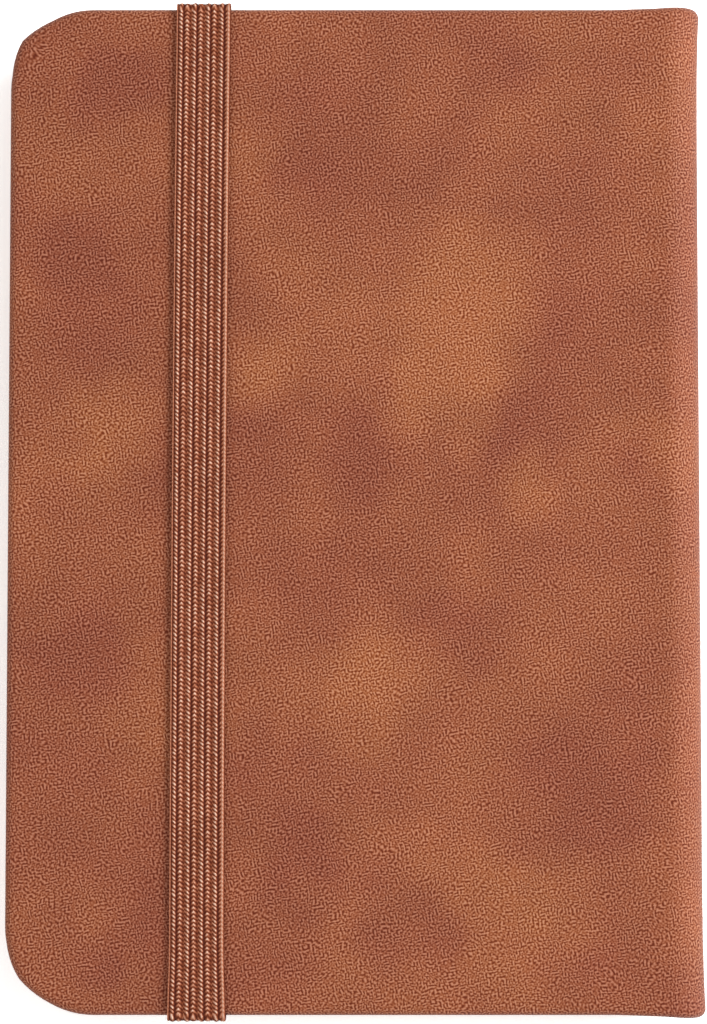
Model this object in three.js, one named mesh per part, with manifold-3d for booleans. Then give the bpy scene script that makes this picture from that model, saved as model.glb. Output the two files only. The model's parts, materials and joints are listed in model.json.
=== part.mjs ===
// Pocket notepad: two leather-covered boards, a rounded hollow spine, a sewn block of seven
// sections and a ribbed elastic strap that is stowed round the back cover.
// Millimetres. X runs from the fore edge to the spine, Y from tail to head, and Z from the
// front cover, which lies on the table, up to the back cover.
import * as THREE from "three";
import { mergeVertices } from "three/addons/utils/BufferGeometryUtils.js";
import Module from "manifold-3d";

const wasm = await Module();
wasm.setup();

// Whole book
const BOOK_WIDTH = 84;
const BOOK_HEIGHT = 122;

// Covers
const LEATHER_THICKNESS = 0.6;
const BOARD_THICKNESS = 1.4;
const TURN_IN_THICKNESS = 0.4;
const TURN_IN_WIDTH = 12;
const COVER_CORNER_RADIUS = 10.2;
const COVER_EDGE_ROUNDING = 0.9;
const COVER_OVERHANG = 3;

// Spine
const SPINE_ROUNDING = 4.5;
const SPINE_CORNER_RADIUS = 1.7;
const SPINE_CARD_THICKNESS = 0.5;
const SPINE_CARD_WRAP_ANGLE = 40;
const SPINE_FACE_TO_PAGES = 3;
const HINGE_LEATHER_FLAT = 0.5;
const HINGE_TO_BOARD = 0.5;

// Pages
const SECTION_COUNT = 7;
const LEAVES_PER_HALF_SECTION = 3;
const LEAF_THICKNESS = 0.135;
const ENDPAPER_THICKNESS = 0.15;
const PAPER_GAP = 0.03;
const FOLD_DEPTH = 0.9;
const LINING_THICKNESS = 0.3;
const LINING_SHORT_OF_PAGES = 4;

// Sewing along the centre fold
const THREAD_DIAMETER = 0.36;
const STITCH_COUNT = 3;
const STITCH_LENGTH = 26;
const STITCH_SPACING = 32;
const THREAD_FROM_FOLD = 0.45;
const THREAD_DIP = 0.3;

// Elastic strap
const STRAP_WIDTH = 6.7;
const STRAP_THICKNESS = 0.8;
const STRAP_RIB_COUNT = 8;
const STRAP_RIB_HEIGHT = 0.18;
const STRAP_TO_FORE_EDGE = 23.2;
const STRAP_BEND_RADIUS = 0.3;
const STRAP_TAIL_LENGTH = 11;
const STRAP_CLEARANCE = 0.05;
const STRAP_RECESS_CLEARANCE = 0.1;

// Room left between glued layers
const GLUE_GAP = 0.05;

// Levels and edges that follow from those sizes
const halfHeight = BOOK_HEIGHT / 2;
const foreEdge = -BOOK_WIDTH / 2;
const spineFace = BOOK_WIDTH / 2;
const coverThickness = LEATHER_THICKNESS + BOARD_THICKNESS + TURN_IN_THICKNESS;
const leafPitch = LEAF_THICKNESS + PAPER_GAP;
const halfSectionThickness = LEAVES_PER_HALF_SECTION * leafPitch - PAPER_GAP;
const sectionThickness = 2 * halfSectionThickness + PAPER_GAP;
const endpaperPitch = ENDPAPER_THICKNESS + PAPER_GAP;
const blockBottom = coverThickness + PAPER_GAP + 2 * endpaperPitch;
const sectionPitch = sectionThickness + PAPER_GAP;
const blockThickness = SECTION_COUNT * sectionPitch - PAPER_GAP;
const bookThickness = 2 * blockBottom + blockThickness;
const roundCentre = spineFace - SPINE_ROUNDING;
const panelEnd = roundCentre - HINGE_LEATHER_FLAT;
const boardEnd = panelEnd - HINGE_TO_BOARD;
const pagesBack = spineFace - SPINE_FACE_TO_PAGES;
const pagesFore = foreEdge + COVER_OVERHANG;
const pagesHalfHeight = halfHeight - COVER_OVERHANG;
const pageCornerRadius = COVER_CORNER_RADIUS - COVER_OVERHANG;
const strapCentre = foreEdge + STRAP_TO_FORE_EDGE;
const cardDepth = LEATHER_THICKNESS + GLUE_GAP;
const turnInDepth = cardDepth + SPINE_CARD_THICKNESS + GLUE_GAP;

// How finely round outlines are cut
const CORNER_STEPS = 5;
const EDGE_STEPS = 3;
const BEYOND = 10;

const finish = (color, roughness) => new THREE.MeshStandardMaterial({ color, roughness, metalness: 0 });
const leather = finish(0xa25c3c, 0.62);
const board = finish(0x8f8a80, 0.9);
const paper = finish(0xf1e9d3, 0.85);
const endpaper = finish(0xe9dfc6, 0.85);
const card = finish(0xb7a98c, 0.9);
const muslin = finish(0xd9d2bf, 0.95);
const linenThread = finish(0xf4efe2, 0.7);
const elastic = finish(0x9a5335, 0.8);

const notepad = new THREE.Group();
const frontCover = new THREE.Group();
const pageBlock = new THREE.Group();
const spine = new THREE.Group();
const backCover = new THREE.Group();
notepad.add(frontCover, pageBlock, spine, backCover);

// Turn a closed three.js geometry into a solid that can be joined and cut.
function solidOf(geometry) {
  const bare = geometry.clone();
  bare.deleteAttribute("normal");
  bare.deleteAttribute("uv");
  const merged = mergeVertices(bare);
  const mesh = new wasm.Mesh({
    numProp: 3,
    vertProperties: new Float32Array(merged.attributes.position.array),
    triVerts: new Uint32Array(merged.index.array),
  });
  return new wasm.Manifold(mesh);
}

// Put a finished solid into one of the groups as a named mesh.
function addPiece(group, name, solid, material) {
  const { vertProperties, triVerts } = solid.getMesh();
  const geometry = new THREE.BufferGeometry();
  geometry.setAttribute("position", new THREE.BufferAttribute(new Float32Array(vertProperties), 3));
  geometry.setIndex(new THREE.BufferAttribute(new Uint32Array(triVerts), 1));
  geometry.computeVertexNormals();
  const mesh = new THREE.Mesh(geometry, material);
  mesh.name = name;
  group.add(mesh);
}

// Extrude an outline drawn in X and Y between two levels, with rounded rims if asked.
function plate(outline, low, high, rounding = 0) {
  const geometry = new THREE.ExtrudeGeometry(outline, {
    depth: high - low - 2 * rounding,
    curveSegments: CORNER_STEPS,
    bevelEnabled: rounding > 0,
    bevelThickness: rounding,
    bevelSize: rounding,
    bevelOffset: -rounding,
    bevelSegments: EDGE_STEPS,
  });
  return solidOf(geometry.translate(0, 0, low + rounding));
}

// Extrude a profile drawn in X and Z along the spine, from one Y to another.
function lengthwise(profile, tail, head) {
  const geometry = new THREE.ExtrudeGeometry(profile, {
    depth: head - tail,
    curveSegments: CORNER_STEPS,
    bevelEnabled: false,
  });
  return solidOf(geometry.rotateX(Math.PI / 2).translate(0, head, 0));
}

function cuboid(lowX, highX, lowY, highY, lowZ, highZ) {
  const geometry = new THREE.BoxGeometry(highX - lowX, highY - lowY, highZ - lowZ);
  geometry.translate((lowX + highX) / 2, (lowY + highY) / 2, (lowZ + highZ) / 2);
  return solidOf(geometry);
}

// An outline with round corners at the fore edge and its own radius at the spine edge.
function panelOutline(fore, back, half, foreRadius, backRadius = 0) {
  const outline = new THREE.Shape();
  outline.moveTo(fore + foreRadius, -half);
  if (backRadius > 0) {
    outline.absarc(back - backRadius, -half + backRadius, backRadius, -Math.PI / 2, 0);
    outline.absarc(back - backRadius, half - backRadius, backRadius, 0, Math.PI / 2);
  } else {
    outline.lineTo(back, -half);
    outline.lineTo(back, half);
  }
  outline.absarc(fore + foreRadius, half - foreRadius, foreRadius, Math.PI / 2, Math.PI);
  outline.absarc(fore + foreRadius, -half + foreRadius, foreRadius, Math.PI, 1.5 * Math.PI);
  return outline;
}

const pageOutline = panelOutline(pagesFore, pagesBack, pagesHalfHeight, pageCornerRadius);
const insetCover = (inset, back) =>
  panelOutline(foreEdge + inset, back, halfHeight - inset, COVER_CORNER_RADIUS - inset);

// What lies at the front, turned over to lie at the back.
const turnedOver = (solid) => solid.mirror([0, 0, 1]).translate(0, 0, bookThickness);

// Leather over the outside of a board, round its three free edges and 12 mm back inside.
function coverLeather() {
  const wrapped = plate(
    insetCover(0, panelEnd + BEYOND), 0, coverThickness, COVER_EDGE_ROUNDING);
  const boardPocket = plate(
    insetCover(LEATHER_THICKNESS, panelEnd + BEYOND),
    LEATHER_THICKNESS, LEATHER_THICKNESS + BOARD_THICKNESS);
  const insideTurnIns = cuboid(
    foreEdge + TURN_IN_WIDTH, panelEnd + BEYOND,
    -halfHeight + TURN_IN_WIDTH, halfHeight - TURN_IN_WIDTH,
    LEATHER_THICKNESS + BOARD_THICKNESS / 2, coverThickness + BEYOND);
  const pastHinge = cuboid(
    panelEnd, panelEnd + 2 * BEYOND, -BOOK_HEIGHT, BOOK_HEIGHT, -BEYOND, coverThickness + BEYOND);
  return wrapped.subtract(boardPocket).subtract(insideTurnIns).subtract(pastHinge);
}

function coverBoard() {
  const edge = LEATHER_THICKNESS + GLUE_GAP;
  return plate(insetCover(edge, boardEnd), edge, LEATHER_THICKNESS + BOARD_THICKNESS - GLUE_GAP);
}

// The endpaper glued to a cover steps down from the turn-ins onto the bare board.
function pastedown() {
  const step = ENDPAPER_THICKNESS + GLUE_GAP;
  const inset = TURN_IN_WIDTH + step;
  const boardFace = coverThickness - TURN_IN_THICKNESS + GLUE_GAP;
  const rimLow = coverThickness + PAPER_GAP;
  const rimHigh = rimLow + ENDPAPER_THICKNESS;
  const sheet = plate(
    panelOutline(pagesFore, boardEnd, pagesHalfHeight, pageCornerRadius), rimLow, rimHigh);
  const tray = cuboid(
    foreEdge + inset, boardEnd, -halfHeight + inset, halfHeight - inset, boardFace, rimHigh);
  const hollow = cuboid(
    foreEdge + inset + step, boardEnd + BEYOND,
    -halfHeight + inset + step, halfHeight - inset - step,
    boardFace + ENDPAPER_THICKNESS, rimHigh + BEYOND);
  return sheet.add(tray).subtract(hollow);
}

// The slot in the back cover that each glued tail of the strap lies in.
function strapRecess(end) {
  const reach = halfHeight - STRAP_TAIL_LENGTH - STRAP_RECESS_CLEARANCE;
  const outside = halfHeight + BEYOND;
  const innerFace = bookThickness - coverThickness;
  return cuboid(
    strapCentre - STRAP_WIDTH / 2 - STRAP_RECESS_CLEARANCE,
    strapCentre + STRAP_WIDTH / 2 + STRAP_RECESS_CLEARANCE,
    end > 0 ? reach : -outside, end > 0 ? outside : -reach,
    innerFace - BEYOND, innerFace + GLUE_GAP + STRAP_THICKNESS + STRAP_RECESS_CLEARANCE);
}

addPiece(frontCover, "front_board", coverBoard(), board);
addPiece(frontCover, "front_cover_leather", coverLeather(), leather);
addPiece(frontCover, "front_pastedown", pastedown(), endpaper);

const strapRecesses = strapRecess(1).add(strapRecess(-1));
addPiece(backCover, "back_board", turnedOver(coverBoard()).subtract(strapRecesses), board);
addPiece(
  backCover, "back_cover_leather", turnedOver(coverLeather()).subtract(strapRecesses), leather);
addPiece(backCover, "back_pastedown", turnedOver(pastedown()), endpaper);

// A band of the spine's round between two depths below the leather's outer face: a flat
// strip beside the hinge and an arc, or the flat strip between the two arcs.
function hingeProfile(shallow, deep) {
  const outer = SPINE_ROUNDING - shallow;
  const inner = SPINE_ROUNDING - deep;
  const profile = new THREE.Shape();
  profile.moveTo(panelEnd, shallow);
  profile.absarc(roundCentre, SPINE_ROUNDING, outer, -Math.PI / 2, 0);
  profile.absarc(roundCentre, SPINE_ROUNDING, inner, 0, -Math.PI / 2, true);
  profile.lineTo(panelEnd, deep);
  profile.closePath();
  return profile;
}

function spineProfile(shallow, deep) {
  const profile = new THREE.Shape();
  profile.moveTo(spineFace - deep, SPINE_ROUNDING);
  profile.lineTo(spineFace - shallow, SPINE_ROUNDING);
  profile.lineTo(spineFace - shallow, bookThickness - SPINE_ROUNDING);
  profile.lineTo(spineFace - deep, bookThickness - SPINE_ROUNDING);
  profile.closePath();
  return profile;
}

// Spine leather keeps its own round corners at head and tail, and is turned in there.
const spineOutline = panelOutline(
  foreEdge, spineFace, halfHeight, COVER_CORNER_RADIUS, SPINE_CORNER_RADIUS);
function turnedInLeather(profile) {
  const turnInEnd = turnInDepth + TURN_IN_THICKNESS;
  let solid = lengthwise(profile(0, LEATHER_THICKNESS), -halfHeight, halfHeight);
  for (const end of [-1, 1]) {
    const edges = (inset) => [end * (halfHeight - inset), end * halfHeight].sort((a, b) => a - b);
    solid = solid
      .add(lengthwise(profile(0, turnInEnd), ...edges(LEATHER_THICKNESS)))
      .add(lengthwise(profile(turnInDepth, turnInEnd), ...edges(TURN_IN_WIDTH)));
  }
  return solid.intersect(plate(spineOutline, -BEYOND, bookThickness + BEYOND));
}

addPiece(spine, "spine_leather", turnedInLeather(spineProfile), leather);
const hingeLeather = turnedInLeather(hingeProfile);
addPiece(frontCover, "front_hinge_leather", hingeLeather, leather);
addPiece(backCover, "back_hinge_leather", turnedOver(hingeLeather), leather);

// A strip of card stiffens the spine and bends in with the leather at both its edges.
function spineCard() {
  const outer = SPINE_ROUNDING - cardDepth;
  const inner = outer - SPINE_CARD_THICKNESS;
  const wrap = THREE.MathUtils.degToRad(SPINE_CARD_WRAP_ANGLE);
  const top = bookThickness - SPINE_ROUNDING;
  const profile = new THREE.Shape();
  profile.absarc(roundCentre, SPINE_ROUNDING, outer, -wrap, 0);
  profile.absarc(roundCentre, top, outer, 0, wrap);
  profile.absarc(roundCentre, top, inner, wrap, 0, true);
  profile.absarc(roundCentre, SPINE_ROUNDING, inner, 0, -wrap, true);
  profile.closePath();
  const end = halfHeight - LEATHER_THICKNESS - GLUE_GAP;
  return lengthwise(profile, -end, end);
}
addPiece(spine, "spine_card", spineCard(), card);

// Folded sheets seen from the head: leaves that part at the fore edge and join at the fold.
// The fold is rounded at its bottom, and at its top too where the whole section is drawn.
function foldedLeaves(leafCount, bottom, roundTop) {
  const thickness = leafCount * leafPitch - PAPER_GAP;
  const radius = roundTop ? thickness / 2 : thickness;
  const profile = new THREE.Shape();
  profile.moveTo(pagesFore, bottom);
  profile.absarc(pagesBack - radius, bottom + radius, radius, -Math.PI / 2, 0);
  if (roundTop) profile.absarc(pagesBack - radius, bottom + radius, radius, 0, Math.PI / 2);
  for (let leaf = leafCount - 1; leaf > 0; leaf -= 1) {
    const underside = bottom + leaf * leafPitch;
    profile.lineTo(pagesFore, bottom + leaf * leafPitch + LEAF_THICKNESS);
    profile.lineTo(pagesFore, underside);
    profile.lineTo(pagesBack - FOLD_DEPTH, underside);
    profile.lineTo(pagesBack - FOLD_DEPTH, underside - PAPER_GAP);
  }
  profile.lineTo(pagesFore, bottom + LEAF_THICKNESS);
  profile.closePath();
  const leaves = lengthwise(profile, -pagesHalfHeight, pagesHalfHeight);
  return leaves.intersect(plate(pageOutline, bottom - BEYOND, bottom + thickness + BEYOND));
}

// The middle section opens at its fold, where the thread lies in a groove.
const middleSection = (SECTION_COUNT + 1) / 2;
const centreFold = bookThickness / 2;
function threadGroove() {
  const reach = THREAD_DIAMETER / 2 + GLUE_GAP;
  const end = ((STITCH_COUNT - 1) * STITCH_SPACING + STITCH_LENGTH) / 2 + THREAD_FROM_FOLD;
  return cuboid(
    pagesBack - THREAD_FROM_FOLD - reach, pagesBack + BEYOND, -end, end,
    centreFold - reach, centreFold + reach);
}

for (let section = 1; section <= SECTION_COUNT; section += 1) {
  const bottom = blockBottom + (section - 1) * sectionPitch;
  if (section !== middleSection) {
    const name = `page_section_${section}`;
    addPiece(pageBlock, name, foldedLeaves(2 * LEAVES_PER_HALF_SECTION, bottom, true), paper);
    continue;
  }
  const lower = foldedLeaves(LEAVES_PER_HALF_SECTION, bottom, false).subtract(threadGroove());
  addPiece(pageBlock, "middle_section_lower", lower, paper);
  addPiece(pageBlock, "middle_section_upper", turnedOver(lower), paper);
}

const flyleafLevel = coverThickness + PAPER_GAP + endpaperPitch;
const flyleaf = plate(pageOutline, flyleafLevel, flyleafLevel + ENDPAPER_THICKNESS);
addPiece(pageBlock, "front_flyleaf", flyleaf, endpaper);
addPiece(pageBlock, "back_flyleaf", turnedOver(flyleaf), endpaper);

const lining = cuboid(
  pagesBack + GLUE_GAP, pagesBack + GLUE_GAP + LINING_THICKNESS,
  -pagesHalfHeight + LINING_SHORT_OF_PAGES, pagesHalfHeight - LINING_SHORT_OF_PAGES,
  blockBottom, bookThickness - blockBottom);
addPiece(pageBlock, "spine_lining", lining, muslin);

// One thread runs along the centre fold in long stitches and dips into the fold between.
function sewingThread() {
  const inside = pagesBack - THREAD_FROM_FOLD;
  const points = [];
  for (let stitch = 0; stitch < STITCH_COUNT; stitch += 1) {
    const middle = (stitch - (STITCH_COUNT - 1) / 2) * STITCH_SPACING;
    points.push(new THREE.Vector3(inside + THREAD_DIP, middle - STITCH_LENGTH / 2, centreFold));
    points.push(new THREE.Vector3(inside, middle - STITCH_LENGTH / 2 + THREAD_DIP * 2, centreFold));
    points.push(new THREE.Vector3(inside, middle + STITCH_LENGTH / 2 - THREAD_DIP * 2, centreFold));
    points.push(new THREE.Vector3(inside + THREAD_DIP, middle + STITCH_LENGTH / 2, centreFold));
  }
  const route = new THREE.CurvePath();
  for (let i = 1; i < points.length; i += 1) {
    route.add(new THREE.LineCurve3(points[i - 1], points[i]));
  }
  const section = new THREE.Shape().absarc(0, 0, THREAD_DIAMETER / 2, 0, 2 * Math.PI);
  return solidOf(new THREE.ExtrudeGeometry(section, {
    steps: 3 * points.length,
    curveSegments: 4,
    extrudePath: route,
  }));
}
addPiece(pageBlock, "sewing_thread", sewingThread(), linenThread);

// Cross-section of the strap: flat underneath and eight rounded ribs on top.
function strapSection() {
  const groove = STRAP_THICKNESS - STRAP_RIB_HEIGHT;
  const pitch = STRAP_WIDTH / STRAP_RIB_COUNT;
  const section = new THREE.Shape();
  section.moveTo(-STRAP_WIDTH / 2, 0);
  section.lineTo(STRAP_WIDTH / 2, 0);
  for (let rib = STRAP_RIB_COUNT - 1; rib >= 0; rib -= 1) {
    const middle = -STRAP_WIDTH / 2 + (rib + 0.5) * pitch;
    section.absellipse(middle, groove, pitch / 2, STRAP_RIB_HEIGHT, 0, Math.PI);
  }
  section.closePath();
  return section.extractPoints(2).shape.slice(0, -1);
}

// Sweep that section along stations in the plane across the cover. Each station holds the
// place of the strap's underside and the direction its ribs face, as an angle from +Y.
function sweptStrap(stations) {
  const section = strapSection();
  const positions = [];
  for (const { y, z, facing } of stations) {
    for (const { x: across, y: up } of section) {
      positions.push(strapCentre + across, y + up * Math.cos(facing), z + up * Math.sin(facing));
    }
  }
  const count = section.length;
  const index = [];
  for (let ring = 0; ring < stations.length - 1; ring += 1) {
    for (let i = 0; i < count; i += 1) {
      const a = ring * count + i;
      const b = ring * count + ((i + 1) % count);
      index.push(a, a + count, b, b, a + count, b + count);
    }
  }
  const last = (stations.length - 1) * count;
  for (const [a, b, c] of THREE.ShapeUtils.triangulateShape(section, [])) {
    index.push(a, b, c, last + a, last + c, last + b);
  }
  const geometry = new THREE.BufferGeometry();
  geometry.setAttribute("position", new THREE.Float32BufferAttribute(positions, 3));
  geometry.setIndex(index);
  return solidOf(geometry);
}

const strapLevel = bookThickness + STRAP_CLEARANCE;
const strapSide = halfHeight + STRAP_CLEARANCE;
const strapTailTop = bookThickness - coverThickness + GLUE_GAP + STRAP_THICKNESS;
const strapBendLevel = strapLevel - STRAP_BEND_RADIUS;

// The run over the back cover bends down over its head and tail edges.
function strapRun() {
  const stations = [];
  for (const end of [-1, 1]) {
    for (let step = 0; step <= CORNER_STEPS; step += 1) {
      const turn = ((end < 0 ? CORNER_STEPS - step : step) / CORNER_STEPS) * (Math.PI / 2);
      const facing = Math.PI / 2 - end * turn;
      stations.push({
        y: end * (strapSide - STRAP_BEND_RADIUS) + STRAP_BEND_RADIUS * Math.cos(facing),
        z: strapBendLevel + STRAP_BEND_RADIUS * Math.sin(facing),
        facing,
      });
    }
  }
  return sweptStrap(stations);
}

function strapWrap(end) {
  const facing = end > 0 ? 0 : Math.PI;
  const levels = [strapTailTop + GLUE_GAP, strapBendLevel - GLUE_GAP];
  if (end > 0) levels.reverse();
  return sweptStrap(levels.map((z) => ({ y: end * strapSide, z, facing })));
}

function strapTail(end) {
  const inner = end * (halfHeight - STRAP_TAIL_LENGTH);
  const outer = end * (strapSide + STRAP_THICKNESS);
  const ends = end > 0 ? [outer, inner] : [inner, outer];
  return sweptStrap(ends.map((y) => ({ y, z: strapTailTop, facing: -Math.PI / 2 })));
}

addPiece(backCover, "elastic_band", strapRun(), elastic);
for (const [name, end] of [["head", 1], ["tail", -1]]) {
  addPiece(backCover, `band_wrap_${name}`, strapWrap(end), elastic);
  addPiece(backCover, `band_anchor_${name}`, strapTail(end), elastic);
}

export default notepad;
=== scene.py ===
# %% [markdown]
# # A pocket notepad with a ribbed elastic band
# The notepad lies on its front cover, with the back cover up and the spine at +X. The frame that
# is loaded here holds the book's solid pieces at their real size, and says which of them move
# together. This lesson gives each piece its finish, and models the soft ones anew: the leather
# that rolls round the spine, the elastic band, and the muslin behind the pages.

# %% Load the frame
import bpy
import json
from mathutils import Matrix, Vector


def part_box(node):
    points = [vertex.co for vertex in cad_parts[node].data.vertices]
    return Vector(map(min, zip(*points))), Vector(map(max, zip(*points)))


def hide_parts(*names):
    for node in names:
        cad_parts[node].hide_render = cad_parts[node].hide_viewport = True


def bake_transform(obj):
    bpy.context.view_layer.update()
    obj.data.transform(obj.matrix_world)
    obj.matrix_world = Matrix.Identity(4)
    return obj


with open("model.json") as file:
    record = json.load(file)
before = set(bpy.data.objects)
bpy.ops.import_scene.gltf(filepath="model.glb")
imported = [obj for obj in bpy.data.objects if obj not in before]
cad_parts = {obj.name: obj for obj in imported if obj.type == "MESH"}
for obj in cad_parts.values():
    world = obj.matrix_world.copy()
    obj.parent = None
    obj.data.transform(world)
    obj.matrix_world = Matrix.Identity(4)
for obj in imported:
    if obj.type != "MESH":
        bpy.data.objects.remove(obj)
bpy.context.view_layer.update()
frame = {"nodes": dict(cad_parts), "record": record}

# %% Libraries and the millimetre
import json
import math
import bmesh
import bpy
from mathutils import Vector

MM = 0.001

# %% [markdown]
# ## Sizes that come from the frame
# Every place below is worked out from the boxes of the solid pieces, so the new pieces sit where
# the old ones do. A few thicknesses of leather, card and elastic are given as real sizes.

# %% Sizes
panel_low, panel_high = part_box("back_cover_leather")
spine_low, spine_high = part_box("spine_leather")
page_half_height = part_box("page_section_3")[1][1]
strap_low, strap_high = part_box("elastic_band")
tail_low, tail_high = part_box("band_anchor_head")

fore_edge = panel_low[0]
spine_face = spine_high[0]
half_height = panel_high[1]
book_top = panel_high[2]
cover_thickness = panel_high[2] - panel_low[2]
spine_rounding = spine_low[2]
round_centre = spine_face - spine_rounding
mid_level = book_top / 2
print("book", round((spine_face - fore_edge) / MM, 1), round(2 * half_height / MM, 1),
      round(book_top / MM, 2), "mm")

# %% [markdown]
# ## Small helpers
# An operator acts on whatever is selected, so everything is deselected before a primitive is
# added. In edit mode, vertices, edges or faces are picked by a test on their place or size.

# %% Helpers for objects
def start_fresh():
    if bpy.context.object and bpy.context.object.mode != "OBJECT":
        bpy.ops.object.mode_set(mode="OBJECT")
    bpy.ops.object.select_all(action="DESELECT")


def take(obj):
    """Select one object and nothing else, so that the next operator acts on it."""
    start_fresh()
    obj.select_set(True)
    bpy.context.view_layer.objects.active = obj


def settle(obj, name):
    """Name a finished object and put its place into its mesh."""
    take(obj)
    obj.name = name
    obj.data.name = name
    bpy.ops.object.transform_apply(location=True, rotation=True, scale=True)
    return obj


def apply_modifier(obj, kind, **settings):
    take(obj)
    modifier = obj.modifiers.new(kind.title(), kind)
    for key, value in settings.items():
        setattr(modifier, key, value)
    bpy.ops.object.modifier_apply(modifier=modifier.name)


# %% Helpers for edit mode
def pick(kind, test):
    """Select the vertices, edges or faces of the edited mesh that pass a test."""
    mesh = bmesh.from_edit_mesh(bpy.context.object.data)
    kinds = ("verts", "edges", "faces")
    bpy.context.tool_settings.mesh_select_mode = [kind == each for each in kinds]
    for each in kinds:
        for item in getattr(mesh, each):
            item.select = False
    for item in getattr(mesh, kind):
        if test(item):
            item.select_set(True)
    bmesh.update_edit_mesh(bpy.context.object.data)


def slice_sheet(places, axis):
    """Cut the whole edited mesh across an axis at each of the places."""
    for place in places:
        bpy.ops.mesh.select_all(action="SELECT")
        point = [0, 0, 0]
        normal = [0, 0, 0]
        point[axis] = place
        normal[axis] = 1
        bpy.ops.mesh.bisect(plane_co=point, plane_no=normal)


def evenly(low, high, step):
    count = max(1, round((high - low) / step))
    return [low + (high - low) * i / count for i in range(count + 1)]


def move_points(obj, route):
    """Move every vertex to where a function of its place says."""
    for vertex in obj.data.vertices:
        vertex.co = route(vertex.co.copy())
    obj.data.update()


# %% [markdown]
# ## The leather, as one sheet in two halves
# On the real notepad one sheet of soft leather-look material wraps both boards and the spine. It
# is turned in by 12 mm round the boards. A box with rounded edges would show a hard block, so
# the sheet is drawn flat first: an outline with two round corners, pulled down to the thickness
# of the wrapped board, its rims rounded, and its inside opened up. It is then given a thin wall,
# and the part past the board is rolled round the spine. The two halves meet at mid spine,
# because each one bends over its own hinge.

# %% Leather sizes
LEATHER_WALL = 0.4 * MM
RIM_ROUNDING = 0.95 * MM
RIM_SEGMENTS = 6
TURN_IN = 12 * MM
HEAD_CORNER = 9.9 * MM
TAIL_CORNER = 10.6 * MM
CORNER_SEGMENTS = 18
ROUND_INSET = 8.6 * MM
CORNER_MERGE = 0.3 * MM
TOP_BORDER = 0.8 * MM
SHEET_SPARE = 16 * MM
FLAT_STEP = 5 * MM
FIRST_STEP_ACROSS = 12 * MM
FIRST_STEP_ALONG = 3 * MM
BEFORE_ROUND = 1 * MM
ROLL_STEP = 0.42 * MM
NEAR = 1 * MM
BROAD_FACE = 5e-3  # square metres
SMOOTH_TURN = math.radians(40)

rolled_length = spine_rounding * math.pi / 2
sheet_end = round_centre + rolled_length + (mid_level - spine_rounding)
print("developed leather half:", round((sheet_end - fore_edge) / MM, 1), "mm wide")


# %% Flat leather sheet
def unfolded(point):
    """Where a point of the flat sheet would lie if its rim weren't folded down and under."""
    corner = HEAD_CORNER if point.y > 0 else TAIL_CORNER
    past_x = min(0.0, point.x - fore_edge - corner)
    past_y = max(0.0, abs(point.y) - half_height + corner)
    outward = Vector((past_x, math.copysign(past_y, point.y)))
    reach = -point.z
    if reach > cover_thickness / 2:
        reach += 2 * (corner - outward.length)
    return Vector((point.x, point.y)) + reach * outward.normalized()


def broad(face, side):
    """A large face that looks up, for side 1, or down, for side -1."""
    return face.normal.z * side > 0.99 and face.calc_area() > BROAD_FACE


def under_and_inside(vertex):
    """On the turned-in side, and clear of the rounded rim."""
    clear = RIM_ROUNDING + NEAR
    return (vertex.co.z < -0.99 * cover_thickness and vertex.co.x > fore_edge + clear
            and abs(vertex.co.y) < half_height - clear)


def flat_leather():
    """The wrapped board's skin, flat, with its outside at level 0 and its inside below."""
    start_fresh()
    far = sheet_end + SHEET_SPARE
    bpy.ops.mesh.primitive_plane_add(size=1, location=((fore_edge + far) / 2, 0, 0))
    sheet = bpy.context.object
    sheet.scale = (far - fore_edge, 2 * half_height, 1)
    bpy.ops.object.transform_apply(location=True, rotation=False, scale=True)
    bpy.ops.object.mode_set(mode="EDIT")
    for side, radius in ((1, HEAD_CORNER), (-1, TAIL_CORNER)):
        pick("verts", lambda v: v.co.x < fore_edge + NEAR and v.co.y * side > half_height - NEAR)
        bpy.ops.mesh.bevel(
            offset=radius, segments=CORNER_SEGMENTS, profile=0.5, affect="VERTICES")
    bpy.ops.mesh.select_all(action="SELECT")
    bpy.ops.mesh.extrude_region_move(
        TRANSFORM_OT_translate={"value": (0, 0, -cover_thickness)})
    bpy.ops.mesh.select_all(action="SELECT")
    bpy.ops.mesh.normals_make_consistent(inside=False)
    pick("edges", lambda e: abs(e.verts[0].co.z - e.verts[1].co.z) < NEAR)
    bpy.ops.mesh.bevel(offset=RIM_ROUNDING, segments=RIM_SEGMENTS, profile=0.5, affect="EDGES")
    pick("faces", lambda f: broad(f, 1))
    bpy.ops.mesh.inset(thickness=TOP_BORDER, depth=0)
    pick("faces", lambda f: broad(f, -1))
    bpy.ops.mesh.inset(thickness=ROUND_INSET, depth=0)
    pick("verts", under_and_inside)
    bpy.ops.mesh.remove_doubles(threshold=CORNER_MERGE)
    pick("faces", lambda f: broad(f, -1))
    bpy.ops.mesh.inset(thickness=TURN_IN - RIM_ROUNDING - ROUND_INSET, depth=0)
    bpy.ops.mesh.delete(type="FACE")
    bpy.ops.mesh.select_all(action="SELECT")
    bpy.ops.mesh.bisect(plane_co=(sheet_end, 0, 0), plane_no=(1, 0, 0), clear_outer=True)
    flat_end, roll_start = round_centre - BEFORE_ROUND, round_centre - BEFORE_ROUND / 2
    slice_sheet(evenly(fore_edge + FIRST_STEP_ACROSS, flat_end, FLAT_STEP), 0)
    slice_sheet(evenly(roll_start, sheet_end - ROLL_STEP / 2, ROLL_STEP)[:-1], 0)
    slice_sheet(evenly(-half_height + FIRST_STEP_ALONG, half_height - FIRST_STEP_ALONG, FLAT_STEP), 1)
    bpy.ops.object.mode_set(mode="OBJECT")
    layer = sheet.data.uv_layers.new(name="leather_uv")
    for loop in sheet.data.loops:
        layer.data[loop.index].uv = unfolded(sheet.data.vertices[loop.vertex_index].co)
    return sheet


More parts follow.
